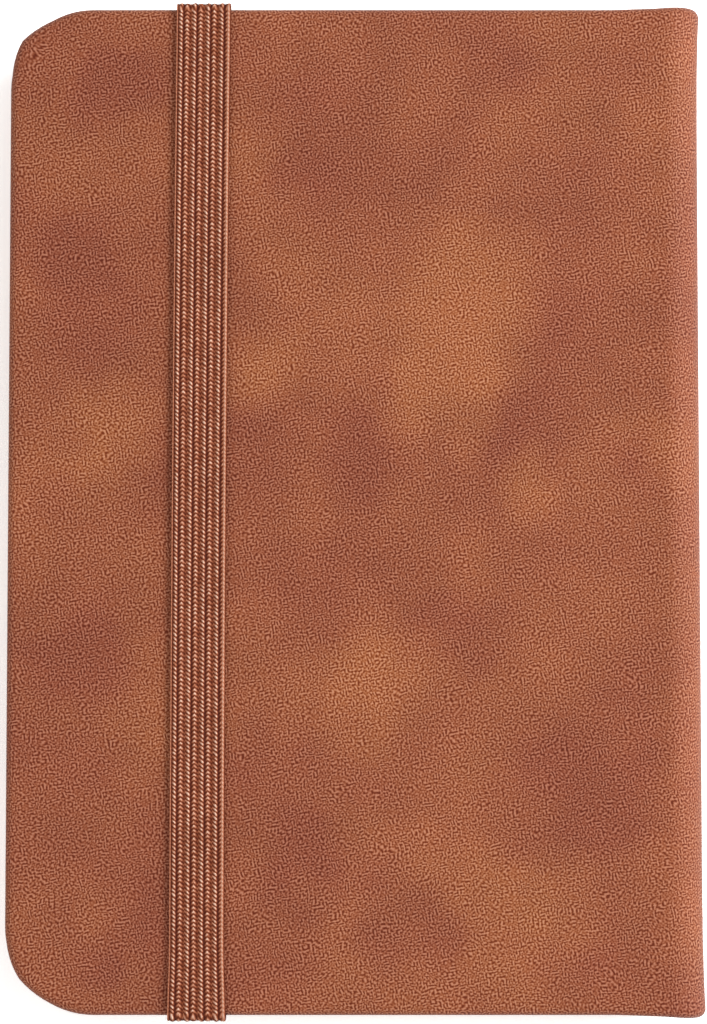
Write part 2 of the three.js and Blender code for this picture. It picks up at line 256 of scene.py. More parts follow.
# %% [markdown]
# Leather that is turned in round a corner bunches up on the inside. On the photographed corners
# one pleat shows, as a blunt point about a third of the way round. The sheet also stands a little
# off the board all along the fore edge.

# %% Pleat the corners
SWELL = 0.14 * MM
SWELL_REACH = 4 * MM
HEAD_PLEAT = 0.58 * MM
TAIL_PLEAT = 0.30 * MM
PLEAT_TURN = math.radians(35)
PLEAT_SPREAD = math.radians(24)
PLEAT_REACH = 4 * MM


def smooth_step(low, high, value):
    """0 below the low value and 1 above the high one, with a smooth rise between them."""
    share = min(1.0, max(0.0, (value - low) / (high - low)))
    return share * share * (3 - 2 * share)


def pleated(point):
    """Push a corner's pleat outward, and stand the leather off the board along the fore edge."""
    radius, peak = (HEAD_CORNER, HEAD_PLEAT) if point.y > 0 else (TAIL_CORNER, TAIL_PLEAT)
    from_centre = Vector((point.x - fore_edge - radius, abs(point.y) - half_height + radius))
    swell = SWELL * smooth_step(-SWELL_REACH, -RIM_ROUNDING, fore_edge - point.x)
    moved = Vector((point.x - swell, point.y, point.z))
    if from_centre.x < 0 < from_centre.y:
        turn = math.atan2(from_centre.y, -from_centre.x)
        share = max(0.0, 1 - abs(turn - PLEAT_TURN) / PLEAT_SPREAD)
        near_rim = smooth_step(radius - PLEAT_REACH, radius - RIM_ROUNDING, from_centre.length)
        push = peak * share * near_rim * from_centre.normalized()
        moved += Vector((push.x, math.copysign(push.y, point.y), 0))
    return moved


# %% [markdown]
# The roll is a formula rather than a bend modifier: the distance past the board becomes an angle
# round the spine's centre. Where the leather leaves the board, its turned-in inside comes closer
# to the outside, because only a thin card lies between them there. The ends of the spine flare
# backward and outward a little, so that its corners look square, as in the photograph.

# %% Roll the leather round the spine
SPINE_TURN_IN_DEPTH = 1.65 * MM
SQUEEZE = (-2 * MM, 1 * MM)
FLARE = (-5 * MM, 6 * MM)
FLARE_BACK = 0.40 * MM
FLARE_OUT = 0.60 * MM
FLARE_REACH = 4 * MM
SOFT_WAVE = 0.05 * MM
SOFT_WAVE_DEPTH = 0.5 * MM
WAVE_ACROSS, WAVE_ALONG, SLANTED_WAVE = 17 * MM, 23 * MM, 9 * MM


def soft_wave(x, y):
    """A slow unevenness of a few hundredths of a millimetre, as on any glued soft cover."""
    slow = math.sin(x / WAVE_ACROSS + 1.3) * math.cos(y / WAVE_ALONG - 0.7)
    return SOFT_WAVE * (slow + 0.5 * math.sin((x + 0.6 * y) / SLANTED_WAVE))


def rolled(point):
    """Carry a point of the flat sheet to its place on the board, round the turn or on the spine."""
    depth = -point.z
    along = point.x - round_centre
    squeeze = smooth_step(*SQUEEZE, along)
    inner = min(1.0, max(0.0, (depth - RIM_ROUNDING) / (cover_thickness - RIM_ROUNDING)))
    depth -= squeeze * inner * (cover_thickness - SPINE_TURN_IN_DEPTH)
    if depth < SOFT_WAVE_DEPTH:
        depth -= soft_wave(point.x, point.y) * (1 - squeeze)
    past_board = smooth_step(*FLARE, along)
    flare = math.exp((abs(point.y) - half_height) / FLARE_REACH) * past_board
    back = FLARE_BACK * flare + SWELL * past_board
    y = point.y + math.copysign(FLARE_OUT * flare, point.y)
    radius = spine_rounding - depth
    if along <= 0:
        x, z = point.x, book_top - depth
    elif along < rolled_length:
        angle = along / spine_rounding
        x = round_centre + radius * math.sin(angle)
        z = book_top - spine_rounding + radius * math.cos(angle)
    else:
        x, z = spine_face - depth, book_top - spine_rounding - (along - rolled_length)
    return Vector((x + back, y, z))


def turned_over(point):
    """The front cover's half is the back cover's, seen in a mirror at mid thickness."""
    return Vector((point.x, point.y, book_top - point.z))


def leather_half(name, at_back):
    sheet = flat_leather()
    apply_modifier(sheet, "SOLIDIFY", thickness=LEATHER_WALL, offset=-1, use_even_offset=True)
    move_points(sheet, pleated)
    move_points(sheet, rolled)
    if not at_back:
        move_points(sheet, turned_over)
        take(sheet)
        bpy.ops.object.mode_set(mode="EDIT")
        bpy.ops.mesh.select_all(action="SELECT")
        bpy.ops.mesh.flip_normals()
        bpy.ops.object.mode_set(mode="OBJECT")
    settle(sheet, name)
    bpy.ops.object.shade_smooth_by_angle(angle=SMOOTH_TURN)
    print(name, len(sheet.data.polygons), "faces")
    return sheet


back_leather = leather_half("back_leather", True)
front_leather = leather_half("front_leather", False)

# %% [markdown]
# ## The recesses for the band's tails
# Each tail of the elastic is glued inside the back cover, under the endpaper. The turned-in
# leather is cut away there, by two plain blocks and a Boolean modifier.

# %% Cut the recesses
RECESS_MARGIN = 0.35 * MM
PAST_EDGE = 3 * MM
PAST_INSIDE = 1 * MM
reach_in, reach_out = tail_low[1] - RECESS_MARGIN, half_height + PAST_EDGE
level_low, level_high = panel_low[2] - PAST_INSIDE, tail_high[2] + RECESS_MARGIN
for side in (1, -1):
    start_fresh()
    bpy.ops.mesh.primitive_cube_add(size=1, location=(
        (tail_low[0] + tail_high[0]) / 2, side * (reach_in + reach_out) / 2,
        (level_low + level_high) / 2))
    cutter = bpy.context.object
    cutter.scale = (
        tail_high[0] - tail_low[0] + 2 * RECESS_MARGIN, reach_out - reach_in, level_high - level_low)
    bpy.ops.object.transform_apply(location=True, rotation=False, scale=True)
    apply_modifier(back_leather, "BOOLEAN", operation="DIFFERENCE", object=cutter, solver="EXACT")
    bpy.data.objects.remove(cutter)

# %% [markdown]
# ## The elastic band
# The band is a flat ribbed strap. It runs over the back cover, bends over the head and tail
# edges, and ends in two flat tails inside the cover. Strong and fine ribs take turns across its
# outer face, between a thin edge and a round cord. The cross-section is drawn from them, and is
# extruded from station to station along the route.

# %% Strap sizes
STRAP_WIDTH = 6.6 * MM
STRAP_BODY = 0.52 * MM
STRAP_CORNER = 0.12 * MM
STRAP_GAP = 0.05 * MM
RIB_PAIRS = 4
RIB_PITCH = 1.65 * MM
STRONG_RIB_FROM_EDGE = 0.59 * MM
FINE_RIB_AFTER_STRONG = 0.69 * MM
STRONG_RIB = (0.14 * MM, 0.30 * MM)
FINE_RIB = (0.09 * MM, 0.32 * MM)
EDGE_CORD = (0.12 * MM, 0.22 * MM)
EDGE_CORD_FROM_EDGE = 0.20 * MM
THIN_EDGE = (0.05 * MM, 0.12 * MM)
THIN_EDGE_FROM_EDGE = 0.12 * MM
FACE_INSET = 0.02 * MM
PROFILE_STEP = 0.075 * MM
BEND_RADIUS = 0.45 * MM
BEND_STATIONS = 8
RUN_STEP, WRAP_STEP, TAIL_STEP = 2.5 * MM, 0.3 * MM, 1.5 * MM
TAIL_SHORTER = 0.2 * MM
HEAD_WIDTH, TAIL_WIDTH = 1.0, 1.06
WIDTH_CHANGE_REACH = 8 * MM
HEAD_DRIFT, MIDDLE_DRIFT, TAIL_DRIFT = 0.28 * MM, -0.12 * MM, -0.25 * MM
STRAP_SMOOTH_TURN = math.radians(60)
strap_centre = (strap_low[0] + strap_high[0]) / 2


# %% Strap cross-section and route
def ribs():
    """Middle, height and half width of every rib, from the strap's fore edge to its other edge."""
    half = STRAP_WIDTH / 2
    found = [(-half + THIN_EDGE_FROM_EDGE, *THIN_EDGE), (half - EDGE_CORD_FROM_EDGE, *EDGE_CORD)]
    for pair in range(RIB_PAIRS):
        strong = -half + STRONG_RIB_FROM_EDGE + pair * RIB_PITCH
        found.append((strong, *STRONG_RIB))
        found.append((strong + FINE_RIB_AFTER_STRONG, *FINE_RIB))
    return found


def rib_height(across):
    """How far the highest rib at this place stands above the strap's body."""
    heights = [high * math.cos(math.pi / 2 * (across - middle) / wide)
               for middle, high, wide in ribs() if abs(across - middle) < wide]
    return max(heights, default=0.0)


def strap_outline():
    """Points of the section: across the strap, and up from its underside."""
    half = STRAP_WIDTH / 2
    points = [(-half + STRAP_CORNER, 0.0), (half - STRAP_CORNER, 0.0), (half, STRAP_CORNER)]
    for across in reversed(evenly(-half + FACE_INSET, half - FACE_INSET, PROFILE_STEP)):
        points.append((across, STRAP_BODY + rib_height(across)))
    points.append((-half, STRAP_CORNER))
    return points


def strap_route():
    """Stations from the tail end's glued tail to the head end's, each as the underside's place
    in Y and Z and the direction the ribs face, counted from +Y."""
    side = half_height + STRAP_GAP
    top = book_top + STRAP_GAP
    inside = tail_high[2]
    half_route = []
    for y in evenly(0, side - BEND_RADIUS, RUN_STEP):
        half_route.append((y, top, math.pi / 2))
    for i in range(1, BEND_STATIONS + 1):
        facing = math.pi / 2 * (1 - i / BEND_STATIONS)
        half_route.append((side - BEND_RADIUS + BEND_RADIUS * math.cos(facing),
                           top - BEND_RADIUS + BEND_RADIUS * math.sin(facing), facing))
    for z in evenly(top - BEND_RADIUS, inside + BEND_RADIUS, WRAP_STEP)[1:]:
        half_route.append((side, z, 0.0))
    for i in range(1, BEND_STATIONS + 1):
        facing = -math.pi / 2 * i / BEND_STATIONS
        half_route.append((side - BEND_RADIUS + BEND_RADIUS * math.cos(facing),
                           inside + BEND_RADIUS + BEND_RADIUS * math.sin(facing), facing))
    for y in evenly(side - BEND_RADIUS, tail_low[1] + TAIL_SHORTER, TAIL_STEP)[1:]:
        half_route.append((y, inside, -math.pi / 2))
    mirrored = [(-y, z, math.pi - facing) for y, z, facing in reversed(half_route[1:])]
    return mirrored + half_route


def strap_width_at(y):
    """The strap is drawn in slightly at the head and spreads at the tail."""
    end_width = HEAD_WIDTH if y > 0 else TAIL_WIDTH
    near_end = smooth_step(half_height - WIDTH_CHANGE_REACH, half_height, abs(y))
    return 1 + (end_width - 1) * near_end


def strap_drift_at(y):
    """The long run bows a little, because nothing guides it between its ends."""
    share = y / half_height
    straight = MIDDLE_DRIFT + (HEAD_DRIFT - TAIL_DRIFT) / 2 * share
    return straight + ((HEAD_DRIFT + TAIL_DRIFT) / 2 - MIDDLE_DRIFT) * share * share


# %% Extrude the strap
def elastic_strap():
    """The whole band: its section, extruded along the route and moved to each station."""
    start_fresh()
    outline = strap_outline()
    route = strap_route()
    bpy.ops.mesh.primitive_circle_add(vertices=len(outline), radius=MM, fill_type="NGON")
    strap = bpy.context.object

    def place(point, station):
        y, z, facing = station
        across, up = point
        return Vector((strap_centre + strap_drift_at(y) + across * strap_width_at(y),
                       y + up * math.cos(facing), z + up * math.sin(facing)))

    for vertex, point in zip(strap.data.vertices, outline):
        vertex.co = place(point, route[0])
    bpy.ops.object.mode_set(mode="EDIT")
    bpy.ops.mesh.select_all(action="SELECT")
    ring = len(outline)
    for number, station in enumerate(route[1:], start=1):
        bpy.ops.mesh.extrude_region_move(TRANSFORM_OT_translate={"value": (0, 0, 0)})
        mesh = bmesh.from_edit_mesh(strap.data)
        mesh.verts.ensure_lookup_table()
        for i, point in enumerate(outline):
            mesh.verts[number * ring + i].co = place(point, station)
        bmesh.update_edit_mesh(strap.data)
    bpy.ops.mesh.select_all(action="SELECT")
    bpy.ops.mesh.normals_make_consistent(inside=False)
    bpy.ops.object.mode_set(mode="OBJECT")
    lengths = [0.0]
    for before, after in zip(route, route[1:]):
        lengths.append(lengths[-1] + math.dist(before[:2], after[:2]))
    layer = strap.data.uv_layers.new(name="strap_uv")
    for loop in strap.data.loops:
        station, i = divmod(loop.vertex_index, ring)
        layer.data[loop.index].uv = (outline[i][0] / MM, lengths[station] / MM)
    settle(strap, "elastic_strap")
    bpy.ops.object.shade_smooth_by_angle(angle=STRAP_SMOOTH_TURN)
    print("elastic strap", len(strap.data.polygons), "faces,",
          round(lengths[-1] / MM, 1), "mm long")
    return strap


strap = elastic_strap()

# %% [markdown]
# ## The muslin behind the sections
# A strip of open-weave muslin is glued over the sewn backs and holds them together. When the
# notepad opens, the backs spread into an arch and each one stands a millimetre further out than
# the next, so one stiff strip would cut through them. The muslin is made as seven short strips
# instead, each from the middle of one section's back to the middle of the next, with a few rows
# of faces to bend in. The two strips next to the centre stop short, because the backs of the
# middle section's halves come to lie against each other there when the notepad is open.

# %% Muslin strips
MUSLIN_ROWS = 6
SHORT_OF_CENTRE = 0.55
section_bodies = [
    ("section_1", "page_section_1"), ("section_2", "page_section_2"),
    ("section_3", "page_section_3"), ("middle_lower", "middle_section_lower"),
    ("middle_upper", "middle_section_upper"), ("section_5", "page_section_5"),
    ("section_6", "page_section_6"), ("section_7", "page_section_7")]
lining_low, lining_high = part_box("spine_lining")


def block(name, low, high):
    """A box from one corner to the other, placed and named."""
    start_fresh()
    middle = [(a + b) / 2 for a, b in zip(low, high)]
    bpy.ops.mesh.primitive_cube_add(size=1, location=middle)
    bpy.context.object.scale = [b - a for a, b in zip(low, high)]
    return settle(bpy.context.object, name)


muslin_strips = []
for number, ((lower, lower_node), (upper, upper_node)) in enumerate(
        zip(section_bodies, section_bodies[1:]), start=1):
    under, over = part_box(lower_node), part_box(upper_node)
    under_middle, over_middle = (under[0][2] + under[1][2]) / 2, (over[0][2] + over[1][2]) / 2
    between = (under[1][2] + over[0][2]) / 2
    bottom = lining_low[2] if number == 1 else under_middle
    top = lining_high[2] if number == len(section_bodies) - 1 else over_middle
    bend_low = between if under_middle > mid_level else under_middle
    bend_high = between if over_middle < mid_level else over_middle
    if upper == "middle_lower":
        top = bend_low + SHORT_OF_CENTRE * (bend_high - bend_low)
    if lower == "middle_upper":
        bottom = bend_high - SHORT_OF_CENTRE * (bend_high - bend_low)
    strip = block(f"muslin_{number}", (lining_low[0], lining_low[1], bottom),
                  (lining_high[0], lining_high[1], top))
    take(strip)
    bpy.ops.object.mode_set(mode="EDIT")
    slice_sheet(evenly(bend_low, bend_high, (bend_high - bend_low) / MUSLIN_ROWS), 2)
    bpy.ops.object.mode_set(mode="OBJECT")
    muslin_strips.append((strip, lower, upper, bend_low, bend_high))
print(len(muslin_strips), "muslin strips", round((lining_high[1] - lining_low[1]) / MM), "mm long")

# %% [markdown]
# ## Materials
# Each finish is a small node tree. `Shader` below keeps them short: it adds nodes, links them and
# sets their inputs. Patterns read Object coordinates, in metres, so a scale of 1000 counts
# millimetres. The strap's stitches follow its own UV map instead, because they run round its
# bends.

# %% A helper for node trees
def feed(tree, socket, value):
    """Link an output to a socket, or write a number, a vector or a colour into the socket."""
    if isinstance(value, bpy.types.NodeSocket):
        tree.links.new(value, socket)
    else:
        socket.default_value = (*value, 1) if socket.type == "RGBA" else value


def math_node(tree, operation, *values):
    node = tree.nodes.new("ShaderNodeMath")
    node.operation = operation
    for socket, value in zip(node.inputs, values):
        feed(tree, socket, value)
    return node.outputs["Value"]


class Shader:
    """A new node material with a Principled surface and short ways to add nodes to it."""

    def __init__(self, name, roughness=0.6, **sockets):
        self.material = bpy.data.materials.new(name)
        self.material.use_nodes = True
        self.tree = self.material.node_tree
        self.surface = self.tree.nodes["Principled BSDF"]
        self.surface.inputs["Roughness"].default_value = roughness
        for key, value in sockets.items():
            self.surface.inputs[key.replace("_", " ")].default_value = value
        self.place = self.add("ShaderNodeTexCoord").outputs["Object"]

    def add(self, kind, **settings):
        node = self.tree.nodes.new(kind)
        for key, value in settings.items():
            setattr(node, key, value)
        return node

    def split(self, vector):
        node = self.add("ShaderNodeSeparateXYZ")
        feed(self.tree, node.inputs["Vector"], vector)
        return node.outputs

    def noise(self, scale, detail=2.0, rough=0.5, place=None, dimensions="3D", output="Fac"):
        node = self.add("ShaderNodeTexNoise", noise_dimensions=dimensions)
        for key, value in (("Scale", scale), ("Detail", detail), ("Roughness", rough),
                           ("Vector", place or self.place)):
            feed(self.tree, node.inputs[key], value)
        return node.outputs[output]

    def vector(self, operation, first, second):
        node = self.add("ShaderNodeVectorMath", operation=operation)
        feed(self.tree, node.inputs[0], first)
        feed(self.tree, node.inputs[1], second)
        return node.outputs["Value" if operation == "DISTANCE" else "Vector"]

    def ramp(self, value, *stops):
        """A colour ramp; each stop is a place and a colour, or a place and a grey level."""
        node = self.add("ShaderNodeValToRGB")
        while len(node.color_ramp.elements) < len(stops):
            node.color_ramp.elements.new(0.5)
        for element, (place, colour) in zip(node.color_ramp.elements, stops):
            element.position = place
            element.color = (*colour, 1) if isinstance(colour, tuple) else (colour,) * 3 + (1,)
        feed(self.tree, node.inputs["Fac"], value)
        return node.outputs["Color"]

    def mix(self, kind, share, first, second):
        """Two colours mixed; a colour mix has its share, first and second at inputs 0, 6 and 7."""
        node = self.add("ShaderNodeMix", data_type="RGBA", blend_type=kind)
        for number, value in ((0, share), (6, first), (7, second)):
            feed(self.tree, node.inputs[number], value)
        return node.outputs[2]

    def math(self, operation, first, second=0.0, third=0.0):
        return math_node(self.tree, operation, first, second, third)

    def bump(self, height, distance, strength=1.0):
        node = self.add("ShaderNodeBump")
        for key, value in (("Distance", distance), ("Strength", strength), ("Height", height)):
            feed(self.tree, node.inputs[key], value)
        return node.outputs["Normal"]

    def finish(self, colour, normal=None, roughness=None):
        for key, value in (("Base Color", colour), ("Normal", normal), ("Roughness", roughness)):
            if value is not None:
                feed(self.tree, self.surface.inputs[key], value)
        return self.material


def srgb(red, green, blue):
    """A colour given as it looks on screen, 0 to 255, as the linear values that nodes take."""
    def linear(c):
        c /= 255
        return c / 12.92 if c <= 0.04045 else ((c + 0.055) / 1.055) ** 2.4
    return tuple(linear(c) for c in (red, green, blue))


# %% [markdown]
# ## Soft two-tone leather
# The cover has three scales of pattern. Smoky clouds some 10 mm across drift between a light
# orange tan and a reddish mauve, with a faint mottle inside them. The largest patches on the
# back cover are listed one by one, and noise that bends their outlines keeps them from looking
# round. The mauve clouds are a little darker too. Over everything runs a fine grain of crooked
# ridges, half a millimetre apart, with dark pits between them. It is noise less its own mean
# nearby, which removes the slow part, so that pits and ridges all have about one width. It reads
# the sheet's own flat coordinates, so it follows the leather round the rims and the spine, as an
# embossed grain does. A ramp colours it, once for each cloud tone, and the same pattern presses
# the bumps in.
# The dark end of that ramp is painted shade in the pits, and its pale end a painted highlight on the
# ridges.

# %% Leather patterns
GRAIN_SCALE = 3600
GRAIN_REACH = 0.21 * MM
GRAIN_TURN = 0.6
GRAIN_DEPTH = 0.06 * MM
GRAIN_SWIRL_SCALE, GRAIN_SWIRL = 300, 1.2 * MM
CLOUD_WANDER_SCALE, CLOUD_WANDER = 90, 15 * MM
CLOUD_SCALE, CLOUD_STRENGTH = 62, 0.8
MOTTLE_SCALE = 140
TAN_WEIGHT, MAUVE_WEIGHT = 0.40, -0.28
TAN_PATCHES = ((-9, 18, 9), (14, 25, 12), (11, 14, 7), (21, 2, 7), (-1, -24, 11), (21, -49, 11),
               (-31, 8, 9))
MAUVE_PATCHES = ((-5, 39, 7), (19, 55, 7), (-29, 52, 6), (-34, 30, 7), (34, 4, 7), (28, -34, 11),
                 (14, -14, 7), (-7, -42, 7), (5, -50, 8), (-35, -18, 8), (-32, -54, 6), (0, 6, 7))


def wander(shade, scale, reach):
    """A shift that changes slowly from place to place, up to about half the reach each way."""
    shift = shade.vector("SUBTRACT", shade.noise(scale, output="Color"), (0.5, 0.5, 0.5))
    return shade.vector("MULTIPLY", shift, (reach,) * 3)


def soft_patch(shade, place, centre, radius):
    """1 in the middle of a soft round patch, falling to 0 at its radius."""
    share = shade.math("DIVIDE", shade.vector("DISTANCE", place, centre), radius)
    return shade.ramp(share, (0.0, 1.0), (0.45, 0.6), (1.0, 0.0))


def leather_grain(shade):
    """Flat noise less its own mean a short way off on four sides, so only fine ripples stay."""
    turned = shade.add("ShaderNodeVectorRotate", rotation_type="Z_AXIS")
    turned.inputs["Angle"].default_value = GRAIN_TURN
    uv = shade.add("ShaderNodeUVMap", uv_map="leather_uv").outputs["UV"]
    feed(shade.tree, turned.inputs["Vector"], uv)
    swirl = wander(shade, GRAIN_SWIRL_SCALE, GRAIN_SWIRL)
    place = shade.vector("ADD", turned.outputs["Vector"], swirl)

    def flat_noise(x, y):
        near = shade.vector("ADD", place, (x, y, 0))
        return shade.noise(GRAIN_SCALE, detail=0.0, place=near, dimensions="2D")

    around = 0.0
    for x, y in ((GRAIN_REACH, 0), (-GRAIN_REACH, 0), (0, GRAIN_REACH), (0, -GRAIN_REACH)):
        around = shade.math("ADD", flat_noise(x, y), around)
    centre = shade.math("ADD", flat_noise(0, 0), 0.5)
    return shade.math("MULTIPLY_ADD", around, -1 / 4, centre)


def leather_clouds(shade):
    """Mauve where this is low and tan where it is high."""
    place = shade.vector("ADD", shade.place, wander(shade, CLOUD_WANDER_SCALE, CLOUD_WANDER))
    clouds = shade.math("MULTIPLY_ADD", shade.noise(CLOUD_SCALE, detail=3.0),
                        CLOUD_STRENGTH, (1 - CLOUD_STRENGTH) / 2)
    for patches, weight in ((TAN_PATCHES, TAN_WEIGHT), (MAUVE_PATCHES, MAUVE_WEIGHT)):
        for x, y, radius in patches:
            patch = soft_patch(shade, place, (x * MM, y * MM, book_top), radius * MM)
            clouds = shade.math("MULTIPLY_ADD", patch, weight, clouds)
    return clouds


# %% Leather material
def leather_material():
    shade = Shader("soft_leather", roughness=0.55, Specular_IOR_Level=0.12, Sheen_Weight=0.20)
    grain = leather_grain(shade)
    # Each grain ramp runs from painted shade in the pits (dark stop), through the cloud tone, to a
    # painted highlight on the ridges (pale stop).
    tan_with_painted_grain_light = shade.ramp(
        grain, (0.22, srgb(121, 48, 14)), (0.49, srgb(171, 97, 56)), (0.80, srgb(212, 147, 112)))
    mauve_with_painted_grain_light = shade.ramp(
        grain, (0.22, srgb(107, 36, 14)), (0.49, srgb(157, 80, 53)), (0.80, srgb(200, 129, 103)))
    clouds = leather_clouds(shade)
    colour = shade.mix("MIX", shade.ramp(clouds, (0.34, 0.0), (0.80, 1.0)), mauve_with_painted_grain_light, tan_with_painted_grain_light)
    mottle = shade.noise(MOTTLE_SCALE, detail=3.0, rough=0.6)
    lights = shade.math("MULTIPLY", shade.math("ADD", clouds, mottle), 0.5)
    colour = shade.mix("MULTIPLY", 1.0, colour, shade.ramp(lights, (0.38, 0.80), (0.72, 1.0)))
    normal = shade.bump(grain, GRAIN_DEPTH, strength=0.5)
    roughness = shade.ramp(grain, (0.3, 0.66), (0.7, 0.48))
    return shade.finish(colour, normal, roughness)


leather = leather_material()

# %% [markdown]
# ## Knitted elastic
# The stitches lean down on both sides of each fine rib, like a row of arrow heads. Fat beads
# stand between their ends on the strong rib, with a deep groove after it, and faint beads run
# along the cord and the thin edge. A sine along the strap makes the stitches, the distance from
# the fine rib shifts it to make them lean, and a ramp across one pitch says how high they stand.
# No two real stitches are quite alike, so each rib starts a little further along than the last,
# and noise moves the stitches and makes some of them plumper. The same height also sets the
# colour, as painted shade in the grooves and a painted highlight on the stitch tops.

# %% Elastic material
STITCH_LENGTH = 0.51 * MM
STITCH_DEPTH = 0.85
STITCH_SLOPE = 0.75
STITCH_STAGGER = 0.19 * MM
STITCH_WANDER_SCALE, STITCH_WANDER = 900, 0.24 * MM
PLUMP_SCALE, PLUMP_RANGE = 2400, 1.6
GROOVE_AFTER_STRONG = 0.27 * MM
KNIT_DEPTH = 0.12 * MM
ELASTIC_MOTTLE_SCALE = 160
FINE_RIB_AT = (FINE_RIB_AFTER_STRONG - GROOVE_AFTER_STRONG) / RIB_PITCH
BEADS_FROM = 0.58


def elastic_material():
    """Places along and across the strap are in millimetres here, as in its UV map."""
    shade = Shader("knitted_elastic", roughness=0.6, Specular_IOR_Level=0.12)
    strap_place = shade.split(shade.add("ShaderNodeUVMap", uv_map="strap_uv").outputs["UV"])
    across, along = strap_place["X"], strap_place["Y"]
    pitch = RIB_PITCH / MM
    first_groove = (-STRAP_WIDTH / 2 + STRONG_RIB_FROM_EDGE + GROOVE_AFTER_STRONG - RIB_PITCH) / MM
    pitches = shade.math("DIVIDE", shade.math("SUBTRACT", across, first_groove), pitch)
    share = shade.math("FRACT", pitches)
    lean = shade.math("ABSOLUTE", shade.math("SUBTRACT", share, FINE_RIB_AT))
    stagger = shade.math("MULTIPLY", shade.math("FLOOR", pitches), STITCH_STAGGER / MM)
    wandering = shade.noise(STITCH_WANDER_SCALE, detail=1.0)
    shift = shade.math("MULTIPLY_ADD", wandering, STITCH_WANDER / MM, stagger)
    beaded = shade.math("GREATER_THAN", share, BEADS_FROM)
    shift = shade.math("MULTIPLY_ADD", beaded, STITCH_LENGTH / 2 / MM, shift)
    shift = shade.math("MULTIPLY_ADD", lean, STITCH_SLOPE * pitch, shift)
    turns = shade.math("MULTIPLY", shade.math("ADD", along, shift), 2 * math.pi * MM / STITCH_LENGTH)
    stitch = shade.math("MULTIPLY_ADD", shade.math("SINE", turns), 0.5, 0.5)
    standing = shade.ramp(
        share, (0.0, 0.0), (0.06, 0.12), (FINE_RIB_AT - 0.02, 0.75), (FINE_RIB_AT + 0.07, 0.68),
        (FINE_RIB_AT + 0.21, 0.22), (BEADS_FROM, 0.3), (0.74, 0.62), (0.85, 1.0), (1.0, 0.0))
    depth = shade.math("MULTIPLY_ADD", stitch, STITCH_DEPTH, 1 - STITCH_DEPTH)
    plump = shade.math("MULTIPLY_ADD", shade.noise(PLUMP_SCALE, detail=1.0),
                       PLUMP_RANGE, 1 - PLUMP_RANGE / 2)
    knit = shade.math("MULTIPLY", shade.math("MULTIPLY", standing, depth), plump)
    width_share = shade.math("MULTIPLY_ADD", across, MM / STRAP_WIDTH, 0.5)
    knitted = shade.ramp(width_share, (0.035, 0.0), (0.06, 1.0), (0.925, 1.0), (0.942, 0.0))
    border = shade.ramp(
        width_share, (0.0, 0.35), (0.018, 0.55), (0.035, 0.02), (0.06, 0.0),
        (0.925, 0.0), (0.94, 0.3), (0.955, 0.72), (0.975, 0.6), (1.0, 0.0))
    faint_beads = shade.math("MULTIPLY_ADD", stitch, 0.3, 0.75)
    edges = shade.math("MULTIPLY", border, faint_beads)
    height = shade.math("MULTIPLY_ADD", knit, knitted, edges)
    # The colour follows the height: its near-black low end is painted shade in the grooves, and its
    # pale high end a painted highlight on the tops.
    colour = shade.ramp(height, (0.0, srgb(64, 8, 0)), (0.22, srgb(141, 69, 40)),
                        (0.5, srgb(209, 137, 104)), (0.85, srgb(255, 216, 192)))
    mottle = shade.noise(ELASTIC_MOTTLE_SCALE)
    colour = shade.mix("MULTIPLY", 1.0, colour, shade.ramp(mottle, (0.3, 0.9), (0.7, 1.0)))
    return shade.finish(colour, shade.bump(height, KNIT_DEPTH, strength=0.8))


elastic = elastic_material()

# %% [markdown]
# ## Paper, endpaper, board, card, muslin and thread
# The pages are ivory and ruled. The lines show only on faces that look up or down, and thin
# streaks on the others stand for the edges of the single sheets, their darker lines painted shade
# in the gaps between them. The endpapers are plain and a little darker. The boards are grey with
# specks, the card is plain, the muslin has an open square weave, and the waxed thread has a twist.

# %% Paper materials
FIBRE_SCALE = 900
BLOTCH_SCALE = 60
RULE_PITCH = 6 * MM
RULE_WIDTH = 0.14 * MM
HEAD_MARGIN = 10 * MM
FOOT_MARGIN = 5 * MM
MARGIN_BLUR = 0.001
SHEET_STREAKS = (60, 60, 9000)


